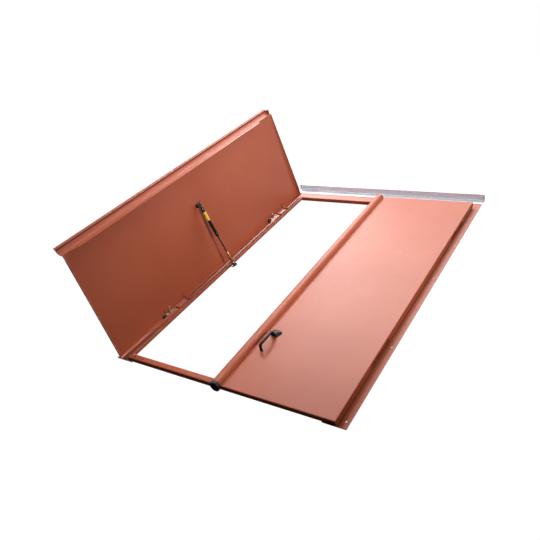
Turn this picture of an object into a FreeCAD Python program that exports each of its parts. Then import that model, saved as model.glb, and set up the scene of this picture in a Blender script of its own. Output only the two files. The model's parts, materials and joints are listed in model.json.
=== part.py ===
import FreeCAD, Part
import Sketcher
import math
import os
import re

# Steel bulkhead cellar door: a flanged frame with two hinged leaves, one open and one closed.
# Millimetres, +Z up, +Y from the foot of the door to the house wall, frame flanges on Z = 0.
# Pieces are drawn with the frame's foot at Y = 0, then set so that the middle of the four outer
# flange screws is the origin.

SIZES = [
    ("frame_width", 1300), ("frame_length", 1925), ("flange_width", 87.5), ("frame_sheet", 2.7),
    ("frame_bend", 5),
    ("rail_height", 32), ("rail_shelf", 21.5), ("rail_lip", 13),
    ("foot_depth", 32), ("foot_skirt", 24), ("foot_return", 12),
    ("head_depth", 168), ("head_shelf", 55), ("head_skirt", 24),
    ("flange_hole", 8), ("flange_hole_inset", 18), ("flange_hole_first", 38), ("flange_hole_second", 500),
    ("flange_hole_third", 1060), ("flange_hole_back", 293),
    ("flashing_overrun", 4), ("flashing_base", 52), ("flashing_rise", 38.8), ("flashing_sheet", 1.2),
    ("flashing_bend", 3), ("flashing_hole", 6), ("flashing_hole_rise", 25), ("flashing_hole_inset", 17),
    ("hinge_inset", 46), ("hinge_rise", 26), ("left_angle", 98.6), ("right_angle", 0),
    ("leaf_sheet", 2), ("leaf_bend", 4), ("leaf_top", 40), ("leaf_overhang", 8), ("leaf_front", 7),
    ("leaf_back_inset", 101), ("hinge_side_lip", 29), ("front_lip", 13), ("back_lip", 25),
    ("ridge_centre", 22), ("ridge_radius", 26), ("ridge_sheet", 2), ("ridge_back_inset", 20),
    ("lap_gap", 5), ("lap_sheet", 2),
    ("meeting_lip", 30), ("meeting_lip_front", 40), ("meeting_lip_full", 78), ("meeting_lip_toe", 12),
    ("meeting_lip_step", 7), ("meeting_lip_cut", 169), ("right_lip_gap", 12),
    ("foot_cap_depth", 17), ("head_cap_depth", 3),
    ("hinge_first", 430), ("hinge_back", 312), ("notch_length", 190), ("notch_web", 8),
    ("pin_diameter", 7), ("pin_length", 190), ("running_gap", 0.08),
    ("pin_grip", 30), ("pin_grip_diameter", 4), ("pin_grip_station", 47),
    ("pin_cap_diameter", 11), ("pin_cap_length", 26),
    ("ear_radius", 7), ("ear_sheet", 5), ("ear_front", 60), ("ear_back", 88),
    ("ear_foot", 24), ("ear_foot_width", 30),
    ("knuckle_diameter", 12), ("knuckle_length", 90), ("knuckle_shift", 38),
    ("knuckle_ear", 6), ("knuckle_ear_height", 10),
    ("strut_station", 885), ("strut_foot_inset", 19), ("strut_foot_z", 22), ("strut_head_reach", 391),
    ("strut_head_drop", 26), ("stud_diameter", 8), ("stud_reach", 5), ("stud_gap", 0.6),
    ("eye_diameter", 16), ("eye_width", 12), ("eye_neck", 14), ("eye_neck_width", 10),
    ("cylinder_diameter", 20), ("cylinder_bore", 15), ("cylinder_guide", 8),
    ("rod_diameter", 8), ("rod_hold", 21), ("sleeve_diameter", 14), ("sleeve_length", 81),
    ("strut_shut_gap", 5),
    ("bracket_sheet", 3), ("bracket_length", 40), ("bracket_width", 24),
    ("handle_inset", 48), ("handle_front", 253), ("handle_length", 109), ("handle_rise", 40),
    ("handle_width", 14), ("handle_thick", 8), ("handle_bend", 14), ("handle_foot_thick", 5),
    ("handle_fan_near", 36), ("handle_fan_far", 59), ("handle_fan_length", 46), ("handle_fan_round", 8),
]

# Places that follow from the sizes
PLACES = {
    "hinge_offset": "(frame_width / 2 - hinge_inset)",
    "rail_web": "(frame_width / 2 - flange_width)",
    "rail_edge": "(rail_web - rail_shelf)",
    "strut_foot_x": "(rail_edge - strut_foot_inset)",
    "strut_step": "(hinge_offset - strut_foot_x)",
    "strut_rise": "(leaf_top - strut_head_drop - hinge_rise)",
    "strut_shut": "sqrt((strut_head_reach - strut_step)^2 + (hinge_rise + strut_rise - strut_foot_z)^2)",
    "open_across": "(strut_head_reach * cos(left_angle) - strut_rise * sin(left_angle) - strut_step)",
    "open_up": "(strut_head_reach * sin(left_angle) + strut_rise * cos(left_angle) + hinge_rise - strut_foot_z)",
    "strut_open": "sqrt(open_across^2 + open_up^2)",
    "cylinder_length": "(strut_shut - 2 * eye_neck - sleeve_length - strut_shut_gap)",
    "rod_length": "(strut_open - 2 * eye_neck - cylinder_length - sleeve_length + rod_hold)",
    "head_front": "(frame_length - head_depth)",
    "flange_hole_last": "(frame_length - flange_hole_back)",
    "flashing_width": "(frame_width + 2 * flashing_overrun)",
    "flashing_hole_outer": "(flashing_width / 2 - flashing_hole_inset)",
    "flashing_hole_inner": "(flashing_hole_outer / 3)",
    "leaf_back": "(frame_length - leaf_back_inset)",
    "ridge_back": "(leaf_back - ridge_back_inset)",
    "meeting_lip_back": "(leaf_back - meeting_lip_cut)",
    "right_lip_back": "(head_front - right_lip_gap)",
    "hinge_second": "(leaf_back - hinge_back)",
    "handle_centre": "(ridge_centre + ridge_radius + handle_inset)",
    "handle_back": "(handle_front + handle_length)",
    "origin_station": "((flange_hole_first + flange_hole_last) / 2)",
}

doc = FreeCAD.newDocument("BulkheadDoor")
dims = doc.addObject("Spreadsheet::Sheet", "Dims")
for row, (alias, value) in enumerate(SIZES, start=1):
    dims.set(f"A{row}", alias)
    dims.set(f"B{row}", str(value))
    dims.setAlias(f"B{row}", alias)
doc.recompute()

ALIAS = re.compile(r"\b(" + "|".join(alias for alias, value in SIZES) + r")\b")
PLACE = re.compile(r"\b(" + "|".join(PLACES) + r")\b")
NODES = []


def spelled(text):
    """Write an expression of named places and sizes in terms of the sheet's cells."""
    while PLACE.search(text):
        text = PLACE.sub(lambda found: PLACES[found.group(1)], text)
    return ALIAS.sub(r"Dims.\1", text)


def bind(thing, prop, text):
    """Tie one property of an object to an expression of named sizes."""
    thing.setExpression(prop, spelled(text))


def block(name, x, y, z):
    """Make a box between bounds that are expressions."""
    box = doc.addObject("Part::Box", name)
    for prop, letter, (low, high) in (("Length", "x", x), ("Width", "y", y), ("Height", "z", z)):
        bind(box, prop, f"({high}) - ({low})")
        bind(box, f"Placement.Base.{letter}", low)
    return box


def rod(name, axis, radius, length, x, y, z):
    """Make a round bar from a start point along one axis of the frame."""
    bar = doc.addObject("Part::Cylinder", name)
    bind(bar, "Radius", radius)
    bind(bar, "Height", length)
    turns = {"x": ((0, 1, 0), 90), "y": ((1, 0, 0), -90), "z": ((0, 0, 1), 0)}
    vector, angle = turns[axis]
    bar.Placement = FreeCAD.Placement(FreeCAD.Vector(), FreeCAD.Rotation(FreeCAD.Vector(*vector), angle))
    for letter, text in (("x", x), ("y", y), ("z", z)):
        bind(bar, f"Placement.Base.{letter}", text)
    return bar


def fuse(name, things):
    """Join shapes into one."""
    joined = doc.addObject("Part::MultiFuse", name)
    joined.Shapes = things
    joined.Refine = True
    return joined


def cut(name, base, tool):
    """Take one shape away from another."""
    result = doc.addObject("Part::Cut", name)
    result.Base = base
    result.Tool = tool
    result.Refine = True
    return result


def common(name, first, second):
    """Keep what two shapes share."""
    result = doc.addObject("Part::Common", name)
    result.Base = first
    result.Tool = second
    return result


def moved(name, shape):
    """Wrap one shape so that it can be placed as a whole."""
    wrap = doc.addObject("Part::Compound", name + "_moved")
    wrap.Links = [shape]
    return wrap


def node(label, shape, station="0"):
    """Name a finished piece and count its place along Y from the middle of the outer screws."""
    shape.Label = label
    bind(shape, "Placement.Base.y", f"{station} - origin_station")
    NODES.append(shape)
    return shape


def value(text):
    """Work out an expression of named sizes as a number."""
    return float(dims.evalExpression(spelled(text)))


def place_corner(sketch, index, kind, name, text):
    """Hold one corner of an outline at a named distance from the sketch's origin."""
    distance = value(text)
    if abs(distance) < 1e-9:
        axis = -2 if kind == "DistanceX" else -1
        sketch.addConstraint(Sketcher.Constraint("PointOnObject", index, 1, axis))
        return
    number = sketch.addConstraint(Sketcher.Constraint(kind, -1, 1, index, 1, distance))
    sketch.renameConstraint(number, name)
    bind(sketch, f"Constraints.{name}", text)


AXES = {"XY_Plane": ("x", "y"), "XZ_Plane": ("x", "z"), "YZ_Plane": ("y", "z")}
TOUCH = 1e-6  # two points closer than this are the same


def padded(name, role, corners, length, reverse=False):
    """Make a body whose closed outline stands on an origin plane and is padded to a length."""
    body = doc.addObject("PartDesign::Body", name)
    sketch = body.newObject("Sketcher::SketchObject", name + "_outline")
    plane = next(item for item in body.Origin.OriginFeatures if item.Role == role)
    sketch.AttachmentSupport = [(plane, "")]
    sketch.MapMode = "FlatFace"
    points = [FreeCAD.Vector(value(across), value(up), 0) for across, up in corners]
    count = len(points)
    for index in range(count):
        sketch.addGeometry(Part.LineSegment(points[index], points[(index + 1) % count]), False)
    for index in range(count):
        sketch.addConstraint(Sketcher.Constraint("Coincident", index, 2, (index + 1) % count, 1))
    for index, (across, up) in enumerate(corners):
        place_corner(sketch, index, "DistanceX", f"across_{index}", across)
        place_corner(sketch, index, "DistanceY", f"up_{index}", up)
    pad = body.newObject("PartDesign::Pad", name + "_pad")
    pad.Profile = sketch
    pad.Reversed = reverse
    bind(pad, "Length", length)
    return body


def rounded(body, edges, radius):
    """Round named edges of a body's last feature."""
    rounding = body.newObject("PartDesign::Fillet", f"{body.Name}_round")
    rounding.Base = (rounding.BaseFeature, edges)
    bind(rounding, "Radius", radius)
    doc.recompute()
    return body


def bent(body, role, corners, radius):
    """Round the long edges that stand on given corners of a padded outline."""
    doc.recompute()
    places = [(value(across), value(up)) for across, up in corners]
    first, second = AXES[role]
    edges = []
    for number, edge in enumerate(body.Tip.Shape.Edges, start=1):
        ends = [(getattr(end.Point, first), getattr(end.Point, second)) for end in edge.Vertexes]
        if any(all(math.dist(end, place) < TOUCH for end in ends) for place in places):
            edges.append(f"Edge{number}")
    return rounded(body, edges, radius)


def folded(name, role, corners, length, outer, inner, metal="frame", reverse=False):
    """Pad a sheet-metal section and give its folds their outer and inner radius."""
    body = padded(name, role, corners, length, reverse)
    bent(body, role, [corners[index] for index in outer], f"{metal}_bend")
    return bent(body, role, [corners[index] for index in inner], f"{metal}_bend - {metal}_sheet")


SIDES = ("left", "right")
FLANGE_EDGE = "(frame_width / 2)"
PAST = 5  # how far a cutting shape reaches past the face that it cuts


def outward(side, low, high):
    """Bounds along X of something that lies between two distances from the middle of the frame."""
    return (low, high) if side == "right" else (f"-({high})", f"-({low})")


def outward_at(side, distance):
    """Place along X of a point at a distance from the middle of the frame."""
    return distance if side == "right" else f"-({distance})"


# Frame


def side_rail(side):
    """Rolled rail: wide outer flange with screw holes, web, inner shelf and turned-down lip."""
    section = [
        (FLANGE_EDGE, "0"), (FLANGE_EDGE, "frame_sheet"),
        ("rail_web", "frame_sheet"), ("rail_web", "rail_height"),
        ("rail_edge", "rail_height"), ("rail_edge", "rail_height - rail_lip"),
        ("rail_edge + frame_sheet", "rail_height - rail_lip"),
        ("rail_edge + frame_sheet", "rail_height - frame_sheet"),
        ("rail_web - frame_sheet", "rail_height - frame_sheet"), ("rail_web - frame_sheet", "0"),
    ]
    corners = [(outward_at(side, across), up) for across, up in section]
    rail = folded(f"{side}_rail_run", "XZ_Plane", corners, "head_front", (3, 4, 9), (2, 7, 8), reverse=True)
    tail = block(f"{side}_rail_tail", outward(side, "rail_web", FLANGE_EDGE), ("head_front", "frame_length"),
                 ("0", "frame_sheet"))
    holes = []
    for number, station in enumerate(("first", "second", "third", "last")):
        centre = outward_at(side, f"{FLANGE_EDGE} - flange_hole_inset")
        holes.append(rod(f"{side}_rail_hole_{number}", "z", "flange_hole / 2", f"frame_sheet + {2 * PAST}",
                         centre, f"flange_hole_{station}", f"-{PAST}"))
    whole = fuse(f"{side}_rail_whole", [rail, tail])
    node(f"{side}_side_rail", cut(f"{side}_rail_drilled", whole, fuse(f"{side}_rail_holes", holes)))


def foot_rail():
    """Cross rail at the foot: front skirt, top and turned-down back."""
    low = "rail_height - foot_skirt"
    under = "rail_height - frame_sheet"
    corners = [
        ("0", low), ("0", "rail_height"), ("foot_depth", "rail_height"),
        ("foot_depth", "rail_height - foot_return"),
        ("foot_depth - frame_sheet", "rail_height - foot_return"),
        ("foot_depth - frame_sheet", under), ("frame_sheet", under), ("frame_sheet", low),
    ]
    rail = folded("foot_rail_run", "YZ_Plane", corners, "2 * rail_edge", (1, 2), (5, 6))
    bind(rail, "Placement.Base.x", "-rail_edge")
    node("foot_rail", rail)


def head_rail():
    """Cross rail at the wall: front skirt, shelf, web and the flange that carries the flashing."""
    back = "head_front + head_shelf"
    low = "rail_height - head_skirt"
    under = "rail_height - frame_sheet"
    corners = [
        ("head_front", low), ("head_front", "rail_height"), (back, "rail_height"), (back, "frame_sheet"),
        ("frame_length", "frame_sheet"), ("frame_length", "0"), (f"{back} - frame_sheet", "0"),
        (f"{back} - frame_sheet", under), ("head_front + frame_sheet", under),
        ("head_front + frame_sheet", low),
    ]
    rail = folded("head_rail_run", "YZ_Plane", corners, "2 * rail_web", (1, 2, 6), (3, 7, 8))
    bind(rail, "Placement.Base.x", "-rail_web")
    node("head_rail", rail)


def wall_flashing():
    """Galvanized angle on the back flange, with screw holes in its upright leg."""
    seat_level = "frame_sheet"
    top = "frame_sheet + flashing_rise"
    front = "frame_length - flashing_base"
    inside = "frame_length - flashing_sheet"
    corners = [
        (front, seat_level), (front, "frame_sheet + flashing_sheet"),
        (inside, "frame_sheet + flashing_sheet"),
        (inside, top), ("frame_length", top), ("frame_length", seat_level),
    ]
    angle = folded("flashing_run", "YZ_Plane", corners, "flashing_width", (5,), (2,), metal="flashing")
    bind(angle, "Placement.Base.x", "-flashing_width / 2")
    holes = []
    for number, place in enumerate(("-flashing_hole_outer", "-flashing_hole_inner", "flashing_hole_inner",
                                    "flashing_hole_outer")):
        holes.append(rod(f"flashing_hole_{number}", "y", "flashing_hole / 2", f"{2 * PAST}", place,
                         f"frame_length - {PAST}", "frame_sheet + flashing_hole_rise"))
    node("wall_flashing", cut("flashing_drilled", angle, fuse("flashing_holes", holes)))


def hinge_knuckle(side, station):
    """Tube on two ears that stand out from the rail's web and carry the hinge pin."""
    name = f"{side}_knuckle_{station}"
    start = f"hinge_{station} + knuckle_shift - knuckle_length / 2"
    end = f"hinge_{station} + knuckle_shift + knuckle_length / 2"
    axis = outward_at(side, "hinge_offset")
    level = ("hinge_rise - knuckle_ear_height / 2", "hinge_rise + knuckle_ear_height / 2")
    tube = rod(name + "_tube", "y", "knuckle_diameter / 2", "knuckle_length", axis, start, "hinge_rise")
    reach = outward(side, "rail_web", "hinge_offset")
    ears = [
        block(name + "_ear_a", reach, (start, f"{start} + knuckle_ear"), level),
        block(name + "_ear_b", reach, (f"{end} - knuckle_ear", end), level),
    ]
    bore = rod(name + "_bore", "y", "pin_diameter / 2 + running_gap", f"knuckle_length + {2 * PAST}", axis,
               f"{start} - {PAST}", "hinge_rise")
    label = {"first": "lower", "second": "upper"}[station]
    node(f"{side}_hinge_knuckle_{label}", cut(name, fuse(name + "_solid", [tube] + ears), bore))


def strut_foot(side):
    """Bracket on the rail's inner lip with the stud that the gas strut turns on."""
    name = f"{side}_strut_foot"
    face = "strut_station + eye_width / 2 + stud_reach"
    plate = block(name + "_plate", outward(side, "rail_edge - bracket_sheet", "rail_edge"),
                  (f"{face} + bracket_sheet - bracket_length", f"{face} + bracket_sheet"),
                  ("rail_height - rail_lip", "rail_height - frame_sheet"))
    ear = block(name + "_ear", outward(side, "strut_foot_x - eye_diameter / 2", "rail_edge"),
                (face, f"{face} + bracket_sheet"),
                ("strut_foot_z - eye_diameter / 2", "strut_foot_z + eye_diameter / 2"))
    stud = rod(name + "_stud", "y", "stud_diameter / 2", "eye_width + 2 * stud_reach",
               outward_at(side, "strut_foot_x"), "strut_station - eye_width / 2 - stud_reach", "strut_foot_z")
    node(name, fuse(name + "_bracket", [plate, ear, stud]))


# Leaves, drawn about their hinge axis: u runs from the hinge to the meeting edge, w upward when shut.


def across(side, low, high):
    """Bounds along a leaf's own X between two distances from its hinge."""
    return (low, high) if side == "left" else (f"-({high})", f"-({low})")


def across_at(side, distance):
    """Place along a leaf's own X at a distance from its hinge."""
    return distance if side == "left" else f"-({distance})"


LEAF_TOP = "(leaf_top - hinge_rise)"
LEAF_UNDER = "(leaf_top - hinge_rise - leaf_sheet)"
RIDGE_REACH = {"left": "(hinge_offset + ridge_centre)", "right": "(hinge_offset - ridge_centre)"}
SKIN_REACH = {
    "left": f"({RIDGE_REACH['left']} - ridge_radius - lap_gap)",
    "right": f"({RIDGE_REACH['right']} + ridge_radius)",
}


def seat(shape, side):
    """Hang a finished leaf piece on its hinge axis at the leaf's angle."""
    shape.Placement = FreeCAD.Placement(FreeCAD.Vector(), FreeCAD.Rotation(FreeCAD.Vector(0, 1, 0), 1))
    bind(shape, "Placement.Rotation.Angle", "-left_angle" if side == "left" else "right_angle")
    bind(shape, "Placement.Base.x", outward_at(side, "hinge_offset"))
    bind(shape, "Placement.Base.z", "hinge_rise")
    return shape


def ring(name, side, outer, inner, front, back, quarter):
    """Part of a round shell along the meeting edge, above the leaf's skin."""
    centre = across_at(side, RIDGE_REACH[side])
    length = f"({back}) - ({front})"
    shell = cut(name + "_shell", rod(name + "_outer", "y", outer, length, centre, front, LEAF_TOP),
                rod(name + "_inner", "y", inner, length, centre, front, LEAF_TOP))
    far = RIDGE_REACH[side] if quarter else f"{RIDGE_REACH[side]} + {outer} + {PAST}"
    keep = block(name + "_keep", across(side, f"{RIDGE_REACH[side]} - {outer} - {PAST}", far), (front, back),
                 (LEAF_TOP, f"{LEAF_TOP} + {outer} + {PAST}"))
    return common(name, shell, keep)


def folded_block(name, side, wide, long, tall, bend):
    """Block in a leaf's own frame, rounded where the sheet folds down at the hinge, the foot and the wall."""
    (hinge_edge, reach), (front, back), (low, top) = wide, long, tall
    corners = [(hinge_edge, low), (hinge_edge, top), (reach, top), (reach, low)]
    local = [(across_at(side, distance), up) for distance, up in corners]
    solid = padded(name, "XZ_Plane", local, f"({back}) - ({front})", reverse=True)
    doc.recompute()
    level = value(top)
    meeting = value(across_at(side, reach))
    folds = []
    for number, edge in enumerate(solid.Tip.Shape.Edges, start=1):
        middle = edge.CenterOfMass
        if abs(middle.z - level) < TOUCH and abs(middle.x - meeting) > TOUCH:
            folds.append(f"Edge{number}")
    rounded(solid, folds, bend)
    bind(solid, "Placement.Base.y", front)
    return solid


def leaf_panel(side):
    """Pan of sheet steel: skin, deep hinge-side lip notched at the hinges, short foot lip and wall lip."""
    name = f"{side}_leaf"
    reach = SKIN_REACH[side]
    past_reach = f"{reach} + {PAST}"
    low = f"{LEAF_TOP} - hinge_side_lip"
    past_low = f"{low} - {PAST}"
    lip_inside = "leaf_sheet - leaf_overhang"
    past_hinge = f"-leaf_overhang - {PAST}"
    whole_width = across(side, past_hinge, past_reach)
    outer = folded_block(name + "_outer", side, ("-leaf_overhang", reach), ("-leaf_front", "leaf_back"),
                         (low, LEAF_TOP), "leaf_bend")
    tools = [
        folded_block(name + "_hollow", side, (lip_inside, past_reach),
                     ("leaf_sheet - leaf_front", "leaf_back - leaf_sheet"), (past_low, LEAF_UNDER),
                     "leaf_bend - leaf_sheet"),
        block(name + "_foot_trim", whole_width, (f"-leaf_front - {PAST}", "leaf_sheet - leaf_front"),
              (past_low, f"{LEAF_TOP} - front_lip")),
        block(name + "_wall_trim", whole_width, ("leaf_back - leaf_sheet", f"leaf_back + {PAST}"),
              (past_low, f"{LEAF_TOP} - back_lip")),
    ]
    for station in ("first", "second"):
        tools.append(block(f"{name}_notch_{station}", across(side, past_hinge, lip_inside),
                           (f"hinge_{station} - notch_length / 2", f"hinge_{station} + notch_length / 2"),
                           (past_low, f"{LEAF_TOP} - notch_web")))
    panel = cut(name + "_pan", outer, fuse(name + "_tools", tools))
    node(f"{side}_leaf_panel", seat(panel, side))


def lap_strip():
    """Quarter-round strip on the open leaf's meeting edge that laps over the ridge when shut."""
    lap = ring("left_lap", "left", "(ridge_radius + lap_gap + lap_sheet)", "(ridge_radius + lap_gap)",
               "-leaf_front", "leaf_back", quarter=True)
    node("left_lap_strip", seat(lap, "left"))


def meeting_lip(side):
    """Stiffening lip under the skin along the meeting edge, cut back at the foot and at the wall."""
    name = f"{side}_meeting_lip"
    back = "meeting_lip_back" if side == "left" else "right_lip_back"
    corners = [
        ("meeting_lip_front", LEAF_UNDER), (back, LEAF_UNDER), (back, f"{LEAF_UNDER} - meeting_lip"),
        ("meeting_lip_full", f"{LEAF_UNDER} - meeting_lip"),
        ("meeting_lip_full", f"{LEAF_UNDER} - meeting_lip + meeting_lip_step"),
        ("meeting_lip_front", f"{LEAF_UNDER} - meeting_lip_toe"),
    ]
    lip = padded(name + "_plate", "YZ_Plane", corners, "leaf_sheet", reverse=(side == "left"))
    bind(lip, "Placement.Base.x", across_at(side, SKIN_REACH[side]))
    node(name, seat(moved(name, lip), side))


def meeting_ridge():
    """Half-round ridge on the closed leaf's meeting edge, with a dark cap at each end."""
    ridge = ring("meeting_ridge_half", "right", "ridge_radius", "(ridge_radius - ridge_sheet)", "-leaf_front",
                 "ridge_back", quarter=False)
    node("meeting_ridge", seat(ridge, "right"))
    centre = across_at("right", RIDGE_REACH["right"])
    foot_disc = rod("foot_cap_disc", "y", "ridge_radius", "foot_cap_depth", centre,
                    "-leaf_front - foot_cap_depth", LEAF_TOP)
    node("ridge_foot_cap", seat(moved("foot_cap", foot_disc), "right"))
    disc = rod("head_cap_disc", "y", "ridge_radius", "head_cap_depth", centre, "ridge_back", LEAF_TOP)
    reach = RIDGE_REACH["right"]
    keep = block("head_cap_keep", across("right", f"{reach} - ridge_radius - {PAST}",
                                         f"{reach} + ridge_radius + {PAST}"),
                 ("ridge_back", "ridge_back + head_cap_depth"),
                 (LEAF_TOP, f"{LEAF_TOP} + ridge_radius + {PAST}"))
    node("ridge_head_cap", seat(common("head_cap_half", disc, keep), "right"))


def hinge_ears(side, station):
    """Two footed ears under the leaf's skin that hold the ends of the hinge pin."""
    name = f"{side}_ears_{station}"
    centre = f"hinge_{station}"
    solids = []
    for key, start, foot_start in (
            ("front", f"{centre} - ear_front", f"{centre} - ear_front - ear_foot + ear_sheet"),
            ("back", f"{centre} + ear_back", f"{centre} + ear_back")):
        boss = rod(f"{name}_{key}_boss", "y", "ear_radius", "ear_sheet", "0", start, "0")
        neck = block(f"{name}_{key}_neck", across(side, "leaf_bend - leaf_overhang", "ear_radius"),
                     (start, f"{start} + ear_sheet"), ("0", LEAF_UNDER))
        foot = block(f"{name}_{key}_foot", across(side, "leaf_bend - leaf_overhang", "ear_foot_width"),
                     (foot_start, f"{foot_start} + ear_foot"), (f"{LEAF_UNDER} - bracket_sheet", LEAF_UNDER))
        bore = rod(f"{name}_{key}_bore", "y", "pin_diameter / 2 + running_gap", f"ear_sheet + {2 * PAST}",
                   "0", f"{start} - {PAST}", "0")
        solids.append(cut(f"{name}_{key}", fuse(f"{name}_{key}_solid", [boss, neck, foot]), bore))
    pair = doc.addObject("Part::Compound", name)
    pair.Links = solids
    label = {"first": "lower", "second": "upper"}[station]
    node(f"{side}_hinge_ears_{label}", seat(pair, side))


def hinge_pin(side, station):
    """Plated pin with a bent finger grip and a dark end cap."""
    name = f"{side}_pin_{station}"
    centre = f"hinge_{station}"
    start = f"{centre} - pin_length / 2"
    shaft = rod(name + "_shaft", "y", "pin_diameter / 2", "pin_length + ear_sheet", "0", start, "0")
    grip = rod(name + "_grip", "x", "pin_grip_diameter / 2", "pin_grip",
               "0" if side == "left" else "-pin_grip", f"{centre} - pin_grip_station", "0")
    label = {"first": "lower", "second": "upper"}[station]
    node(f"{side}_hinge_pin_{label}", seat(fuse(name, [shaft, grip]), side))
    tip = rod(name + "_tip", "y", "pin_cap_diameter / 2", "pin_cap_length", "0",
              f"{start} - pin_cap_length / 2", "0")
    socket = rod(name + "_socket", "y", "pin_diameter / 2 + running_gap", "pin_cap_length", "0", start, "0")
    node(f"{side}_hinge_cap_{label}", seat(cut(name + "_cap", tip, socket), side))


def strut_head(side):
    """Bracket under the leaf's skin with a short stud beside the strut's upper eye."""
    name = f"{side}_strut_head"
    level = f"({LEAF_TOP} - strut_head_drop)"
    face = "strut_station - eye_width / 2 - stud_reach"
    wide = across(side, "strut_head_reach - bracket_width / 2", "strut_head_reach + bracket_width / 2")
    plate = block(name + "_plate", wide,
                  (f"{face} - bracket_sheet", f"{face} - bracket_sheet + bracket_length"),
                  (f"{LEAF_UNDER} - bracket_sheet", LEAF_UNDER))
    ear = block(name + "_ear", across(side, "strut_head_reach - eye_diameter / 2",
                                      "strut_head_reach + eye_diameter / 2"),
                (f"{face} - bracket_sheet", face), (f"{level} - eye_diameter / 2", LEAF_UNDER))
    stud = rod(name + "_stud", "y", "stud_diameter / 2", "stud_reach - stud_gap",
               across_at(side, "strut_head_reach"), face, level)
    node(name, seat(fuse(name + "_bracket", [plate, ear, stud]), side))


# Gas struts, drawn along their own +Z from the foot stud to the head stud


def strut_ends(side):
    """Return the foot and head stud centres in the frame, for the leaf's angle."""
    sign = 1 if side == "right" else -1
    angle = math.radians(value("left_angle") if side == "left" else value("right_angle"))
    reach = value("strut_head_reach")
    rise = value("strut_rise")
    inward = reach * math.cos(angle) - rise * math.sin(angle)
    upward = reach * math.sin(angle) + rise * math.cos(angle)
    station = value("strut_station")
    foot = FreeCAD.Vector(sign * value("strut_foot_x"), station, value("strut_foot_z"))
    head = FreeCAD.Vector(sign * (value("hinge_offset") - inward), station, value("hinge_rise") + upward)
    return foot, head


def aim(shape, base, foot, head):
    """Stand a strut piece on a point, with its +Z from foot to head."""
    rotation = FreeCAD.Rotation(FreeCAD.Vector(0, 0, 1), head - foot)
    shape.Placement = FreeCAD.Placement(base, rotation)
    return shape


def strut_eye(name, base_low, base_high):
    """Eye with its neck, bored for the stud."""
    ball = rod(name + "_ball", "y", "eye_diameter / 2", "eye_width", "0", "-eye_width / 2", "0")
    flat = ("-eye_neck_width / 2", "eye_neck_width / 2")
    neck = block(name + "_neck", flat, flat, (base_low, base_high))
    bore = rod(name + "_bore", "y", "stud_diameter / 2 + running_gap", f"eye_width + {2 * PAST}", "0",
               f"-eye_width / 2 - {PAST}", "0")
    return cut(name, fuse(name + "_solid", [ball, neck]), bore)


def gas_strut(side):
    """Rod with its sleeve and eye on the frame, cylinder with its eye on the leaf."""
    name = f"{side}_strut"
    foot, head = strut_ends(side)
    sleeve_top = "(eye_neck + sleeve_length)"
    rod_eye = strut_eye(name + "_rod_end", "0", "eye_neck")
    sleeve = rod(name + "_tube", "z", "sleeve_diameter / 2", "sleeve_length", "0", "0", "eye_neck")
    bar = rod(name + "_bar", "z", "rod_diameter / 2", "rod_length", "0", "0", sleeve_top)
    node(f"{side}_strut_rod_eye", aim(rod_eye, foot, foot, head), "strut_station")
    node(f"{side}_strut_sleeve", aim(moved(name + "_tube", sleeve), foot, foot, head), "strut_station")
    node(f"{side}_strut_rod", aim(moved(name + "_bar", bar), foot, foot, head), "strut_station")
    low = "(-eye_neck - cylinder_length)"
    shell = rod(name + "_shell", "z", "cylinder_diameter / 2", "cylinder_length", "0", "0", low)
    cavity = rod(name + "_cavity", "z", "cylinder_bore / 2", "cylinder_length - 2 * cylinder_guide", "0", "0",
                 f"{low} + cylinder_guide")
    guide = rod(name + "_guide", "z", "rod_diameter / 2 + running_gap", f"cylinder_guide + {2 * PAST}",
                "0", "0", f"{low} - {PAST}")
    cylinder = cut(name + "_cylinder", shell, fuse(name + "_hollow", [cavity, guide]))
    cylinder_eye = strut_eye(name + "_cylinder_end", "-eye_neck", "0")
    node(f"{side}_strut_cylinder", aim(cylinder, head, foot, head), "strut_station")
    node(f"{side}_strut_cylinder_eye", aim(cylinder_eye, head, foot, head), "strut_station")


# Lift handle on the closed leaf


def lift_handle():
    """Bent flat bar whose leg toward the wall ends in a fan-shaped foot."""
    front = "handle_front - handle_thick / 2"
    back = "handle_back + handle_thick / 2"
    inner = ("handle_front + handle_thick / 2", "handle_back - handle_thick / 2")
    under = "handle_rise - handle_thick"
    corners = [(front, "0"), (front, "handle_rise"), (back, "handle_rise"), (back, "0"),
               (inner[1], "0"), (inner[1], under), (inner[0], under), (inner[0], "0")]
    bar = padded("handle_bar", "YZ_Plane", corners, "handle_width")
    bent(bar, "YZ_Plane", corners[1:3], "handle_bend + handle_thick / 2")
    bent(bar, "YZ_Plane", corners[5:7], "handle_bend - handle_thick / 2")
    bind(bar, "Placement.Base.x", "handle_centre - hinge_offset - handle_width / 2")
    bind(bar, "Placement.Base.z", LEAF_TOP)
    fan_corners = [("-handle_fan_near / 2", "0"), ("handle_fan_near / 2", "0"),
                   ("handle_fan_far / 2", "handle_fan_length"), ("-handle_fan_far / 2", "handle_fan_length")]
    fan = padded("handle_fan", "XY_Plane", fan_corners, "handle_foot_thick")
    bent(fan, "XY_Plane", fan_corners[2:], "handle_fan_round")
    bind(fan, "Placement.Base.x", "handle_centre - hinge_offset")
    bind(fan, "Placement.Base.y", inner[1])
    bind(fan, "Placement.Base.z", LEAF_TOP)
    node("lift_handle", seat(fuse("handle_whole", [bar, fan]), "right"))


for each_side in SIDES:
    side_rail(each_side)
foot_rail()
head_rail()
wall_flashing()
for each_side in SIDES:
    strut_foot(each_side)
    leaf_panel(each_side)
    meeting_lip(each_side)
    strut_head(each_side)
    gas_strut(each_side)
    for each_station in ("first", "second"):
        hinge_knuckle(each_side, each_station)
        hinge_ears(each_side, each_station)
        hinge_pin(each_side, each_station)
lap_strip()
meeting_ridge()
lift_handle()
doc.recompute()

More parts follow.
